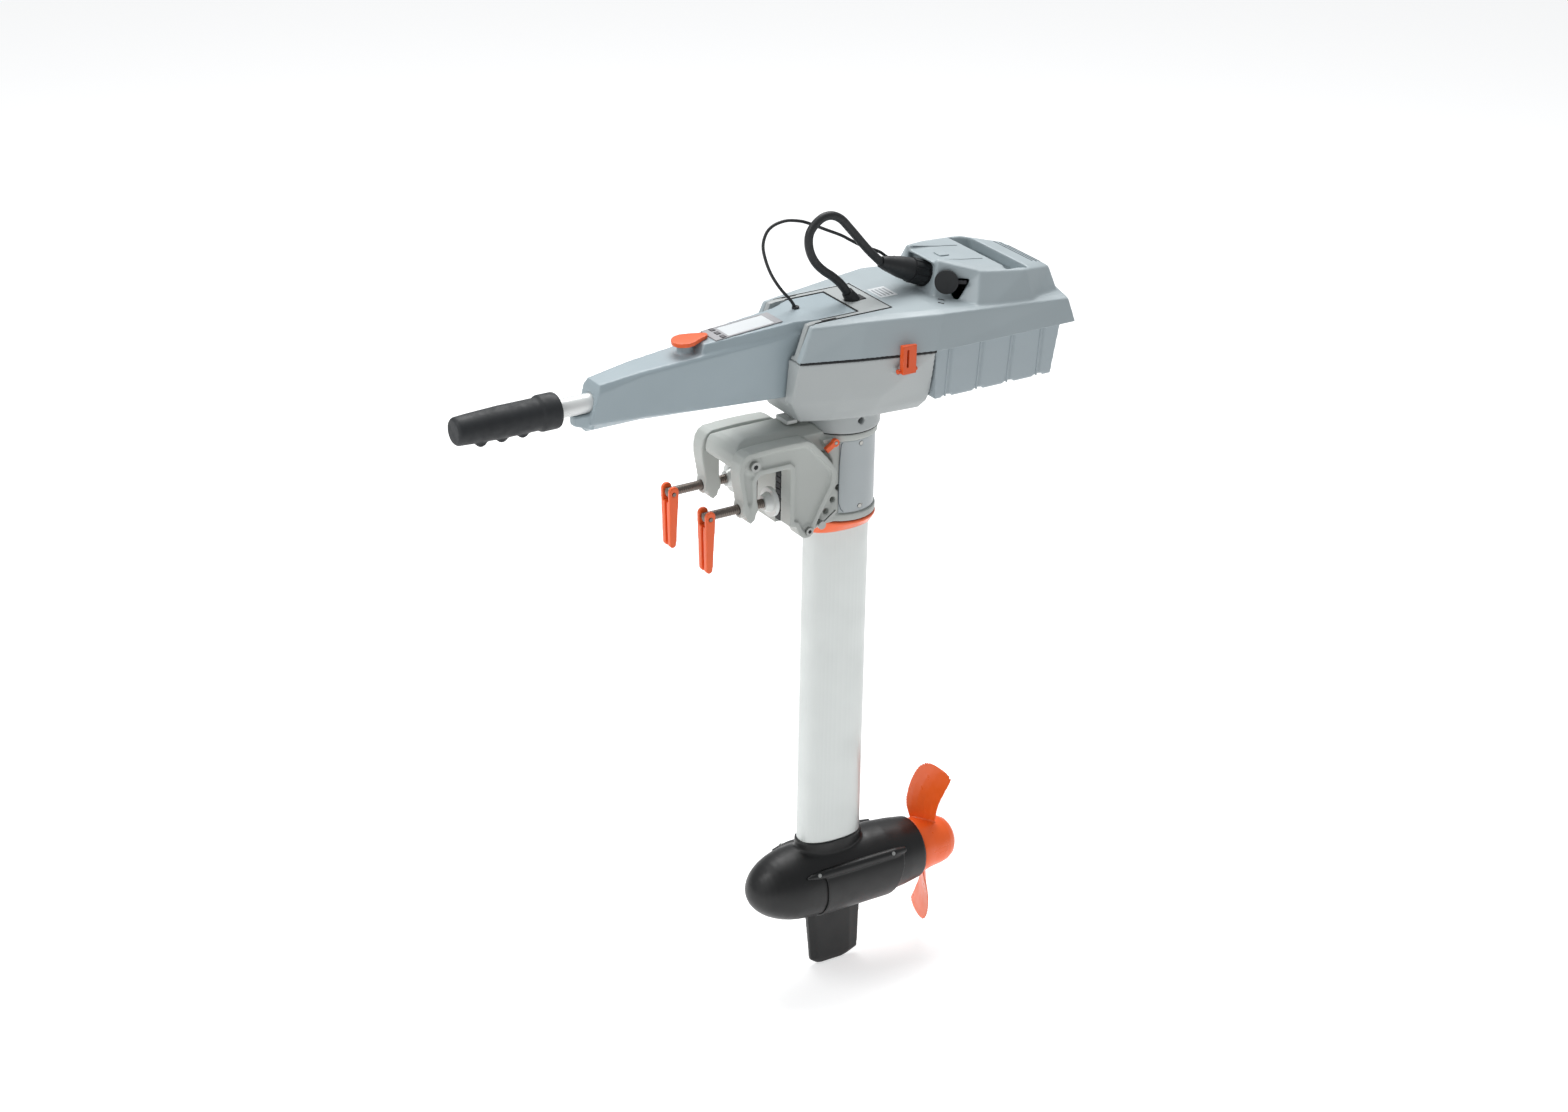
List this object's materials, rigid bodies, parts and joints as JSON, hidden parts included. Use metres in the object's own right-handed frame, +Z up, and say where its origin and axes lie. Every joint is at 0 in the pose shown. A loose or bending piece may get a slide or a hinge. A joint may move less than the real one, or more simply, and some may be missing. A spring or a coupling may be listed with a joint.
{
  "type": "electric outboard trolling motor",
  "caption": "Electric outboard with a transom clamp bracket, tilting swivel, streamlined shaft, pod with propeller, folding tiller with display, and clip-on battery.",
  "frame": {"origin": "where the top edge of a boat's transom meets the clamp bracket's bearing face, on the centre plane", "axes": "+X aft towards the propeller, +Y to starboard, +Z up; the tiller points to -X"},
  "size_m": [0.849, 0.215, 1.0764],
  "materials": {
    "bracket_casting": "satin powder coat over cast aluminium",
    "black_rubber": "matte",
    "dark_steel": "satin",
    "pad_metal": "satin",
    "orange_plastic": "satin gloss",
    "shell_plastic": "fine moulded texture",
    "head_plastic": "fine moulded texture",
    "stainless_steel": "satin",
    "bush_polymer": "satin",
    "shaft_aluminium": "satin anodised",
    "pod_plastic": "satin",
    "cable_rubber": "matte",
    "cell_wrap": "satin",
    "button_plastic": "satin",
    "motor_metal": "machined",
    "copper_winding": "satin",
    "circuit_board": "satin",
    "display_glass": "gloss",
    "white_tube": "satin anodised"
  },
  "bodies": {
    "clamp": {"clamp_arm_port": "bracket_casting", "clamp_arm_starboard": "bracket_casting", "transom_plate": "bracket_casting", "transom_pads": "black_rubber", "tilt_bolt": "dark_steel", "lower_tie_bolt": "dark_steel"},
    "pad_port": {"clamp_pad_port": "pad_metal"},
    "pad_starboard": {"clamp_pad_starboard": "pad_metal"},
    "screw_port": {"clamp_screw_port": "dark_steel"},
    "screw_starboard": {"clamp_screw_starboard": "dark_steel"},
    "handle_port": {"clamp_handle_port": "orange_plastic"},
    "handle_starboard": {"clamp_handle_starboard": "orange_plastic"},
    "swivel": {"swivel_housing": "bracket_casting", "swivel_cover": "shell_plastic", "swivel_cover_screws": "stainless_steel", "steering_bushes": "bush_polymer", "tilt_bushes": "bush_polymer"},
    "trim_pin": {"trim_pin": "stainless_steel"},
    "tilt_lock": {"tilt_lock_lever": "orange_plastic"},
    "steering_lock": {"steering_lock_pin": "pad_metal"},
    "plug_ring": {"plug_ring": "cable_rubber"},
    "power_button": {"power_button": "button_plastic"},
    "charge_cap": {"charge_cap": "cable_rubber"},
    "latch_port": {"battery_latch_port": "orange_plastic"},
    "latch_starboard": {"battery_latch_starboard": "orange_plastic"},
    "propeller": {"propeller": "orange_plastic", "prop_nut": "stainless_steel", "drive_shaft": "stainless_steel", "motor_rotor": "motor_metal"},
    "tiller": {"tiller_body": "shell_plastic", "display_bezel": "button_plastic", "display_glass": "display_glass", "display_module": "circuit_board", "grip_tube": "white_tube"},
    "throttle": {"throttle_grip": "black_rubber"},
    "kill_switch": {"kill_switch_key": "orange_plastic"},
    "button_port": {"button_port": "button_plastic"},
    "button_centre": {"button_centre": "button_plastic"},
    "button_starboard": {"button_starboard": "button_plastic"},
    "head": {"steering_tube": "stainless_steel", "shaft_tube": "shaft_aluminium", "shaft_collar": "orange_plastic", "head_housing": "head_plastic", "head_cover": "shell_plastic", "cable_gland": "cable_rubber", "power_cable": "cable_rubber", "power_plug": "cable_rubber", "data_cable": "cable_rubber", "data_plug": "cable_rubber", "battery_upper_shell": "shell_plastic", "battery_lower_shell": "shell_plastic", "battery_cells": "cell_wrap", "power_socket": "cable_rubber", "charge_socket": "cable_rubber", "pod_housing": "pod_plastic", "fin": "pod_plastic", "motor_end_plates": "motor_metal", "motor_stator": "copper_winding", "motor_controller": "circuit_board", "shaft_bearings": "stainless_steel"}
  },
  "joints": [
    {"name": "clamp_feed_port", "type": "slide", "parent": "clamp", "child": "pad_port", "axis": [1, 0, 0], "range_m": [-0.0121, 0.0151]},
    {"name": "clamp_turn_port", "type": "hinge", "parent": "pad_port", "child": "screw_port", "pos_m": [-0.03, -0.044, -0.044], "axis": [1, 0, 0], "range_deg": [-1440, 1800]},
    {"name": "handle_fold_port", "type": "hinge", "parent": "screw_port", "child": "handle_port", "pos_m": [-0.115, -0.044, -0.044], "axis": [0, 1, 0], "range_deg": [0, 90]},
    {"name": "clamp_feed_starboard", "type": "slide", "parent": "clamp", "child": "pad_starboard", "axis": [1, 0, 0], "range_m": [-0.0121, 0.0151]},
    {"name": "clamp_turn_starboard", "type": "hinge", "parent": "pad_starboard", "child": "screw_starboard", "pos_m": [-0.03, 0.044, -0.044], "axis": [1, 0, 0], "range_deg": [-1440, 1800]},
    {"name": "handle_fold_starboard", "type": "hinge", "parent": "screw_starboard", "child": "handle_starboard", "pos_m": [-0.115, 0.044, -0.044], "axis": [0, 1, 0], "range_deg": [0, 90]},
    {"name": "tilt", "type": "hinge", "parent": "clamp", "child": "swivel", "pos_m": [-0.053, 0, 0.014], "axis": [0, -1, 0], "range_deg": [0, 75]},
    {"name": "trim_pin_pull", "type": "slide", "parent": "swivel", "child": "trim_pin", "axis": [0, -1, 0], "range_m": [0, 0.095]},
    {"name": "tilt_lock_release", "type": "hinge", "parent": "swivel", "child": "tilt_lock", "pos_m": [0.072, -0.045, 0.016], "axis": [0, 1, 0], "range_deg": [0, 35], "stiffness_Nm_per_rad": 0.3},
    {"name": "steering_lock_slide", "type": "slide", "parent": "swivel", "child": "steering_lock", "axis": [1, 0, 0], "range_m": [0, 0.007]},
    {"name": "steering", "type": "hinge", "parent": "swivel", "child": "head", "pos_m": [0.106, 0, 0], "axis": [0, 0, 1], "range_deg": [-90, 90]},
    {"name": "plug_ring_turn", "type": "hinge", "parent": "head", "child": "plug_ring", "pos_m": [0.229, 0, 0.198], "axis": [-0.9272, 0, 0.3746], "range_deg": [0, 60]},
    {"name": "power_button_press", "type": "slide", "parent": "head", "child": "power_button", "axis": [-0.0958, 0, -0.9954], "range_m": [0, 0.001], "stiffness_N_per_m": 400},
    {"name": "charge_cap_turn", "type": "hinge", "parent": "head", "child": "charge_cap", "pos_m": [0.234, -0.044, 0.2], "axis": [-0.5507, -0.8164, 0.1736], "range_deg": [0, 90]},
    {"name": "latch_open_port", "type": "hinge", "parent": "head", "child": "latch_port", "pos_m": [0.139, -0.1, 0.119], "axis": [1, 0, 0], "range_deg": [0, 60]},
    {"name": "latch_open_starboard", "type": "hinge", "parent": "head", "child": "latch_starboard", "pos_m": [0.139, 0.1, 0.119], "axis": [-1, 0, 0], "range_deg": [0, 60]},
    {"name": "propeller_spin", "type": "hinge", "parent": "head", "child": "propeller", "pos_m": [0.26, 0, -0.635], "axis": [1, 0, 0], "continuous": true},
    {"name": "tiller_fold", "type": "hinge", "parent": "head", "child": "tiller", "pos_m": [0.054, 0, 0.175], "axis": [0, 1, 0], "range_deg": [0, 40], "deforming": ["data_cable"]},
    {"name": "throttle_twist", "type": "hinge", "parent": "tiller", "child": "throttle", "pos_m": [-0.36, 0, 0.121], "axis": [1, 0, 0], "range_deg": [-70, 70]},
    {"name": "kill_switch_lift", "type": "slide", "parent": "tiller", "child": "kill_switch", "axis": [-0.0698, 0, 0.9976], "range_m": [0, 0.03]},
    {"name": "button_port_press", "type": "slide", "parent": "tiller", "child": "button_port", "axis": [0.0698, 0, -0.9976], "range_m": [0, 0.0008], "stiffness_N_per_m": 400},
    {"name": "button_centre_press", "type": "slide", "parent": "tiller", "child": "button_centre", "axis": [0.0698, 0, -0.9976], "range_m": [0, 0.0008], "stiffness_N_per_m": 400},
    {"name": "button_starboard_press", "type": "slide", "parent": "tiller", "child": "button_starboard", "axis": [0.0698, 0, -0.9976], "range_m": [0, 0.0008], "stiffness_N_per_m": 400}
  ],
  "couplings": [
    {"joint": "clamp_feed_port", "follows": "clamp_turn_port", "m_per_rad": 0.00047746},
    {"joint": "clamp_feed_starboard", "follows": "clamp_turn_starboard", "m_per_rad": 0.00047746}
  ]
}
